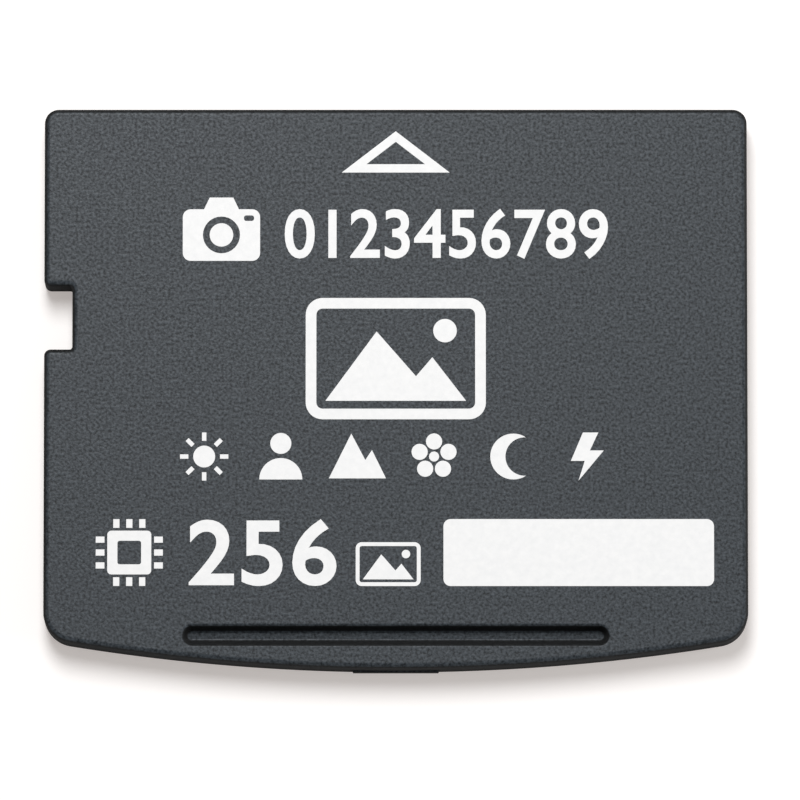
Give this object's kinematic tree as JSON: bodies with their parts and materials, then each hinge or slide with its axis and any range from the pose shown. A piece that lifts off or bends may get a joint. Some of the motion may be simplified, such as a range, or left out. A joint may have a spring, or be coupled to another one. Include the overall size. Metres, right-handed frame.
{
  "type": "flash memory card",
  "caption": "Thin flat memory card for cameras: moulded case with a side key notch, a finger groove and a bowed rear edge, and a contact board bonded into its back.",
  "frame": {"origin": "middle of the rear face, on the surface that the card lies on", "axes": "+X to the right and +Y towards the edge that goes in first, seen from the front; +Z out of the front face"},
  "size_m": [0.025, 0.02, 0.0017],
  "materials": {
    "case_plastic": "fine spark-etched moulding, dark grey",
    "print_ink": "matt white screen print",
    "board_mask": "satin black solder mask",
    "contact_gold": "gold plating, lightly wiped",
    "adhesive": "clear amber adhesive film",
    "silicon": "ground silicon",
    "wire_gold": "drawn gold wire",
    "cap_epoxy": "black moulding compound"
  },
  "bodies": {
    "root": {"card_case": "case_plastic", "bonding_frame": "adhesive", "printed_board": "board_mask", "contact_01": "contact_gold", "contact_02": "contact_gold", "contact_03": "contact_gold", "contact_04": "contact_gold", "contact_05": "contact_gold", "contact_06": "contact_gold", "contact_07": "contact_gold", "contact_08": "contact_gold", "contact_09": "contact_gold", "contact_10": "contact_gold", "contact_11": "contact_gold", "contact_12": "contact_gold", "contact_13": "contact_gold", "contact_14": "contact_gold", "contact_15": "contact_gold", "contact_16": "contact_gold", "contact_17": "contact_gold", "contact_18": "contact_gold", "die_film": "adhesive", "memory_die": "silicon", "bond_wires": "wire_gold", "moulded_cap": "cap_epoxy"}
  },
  "joints": []
}
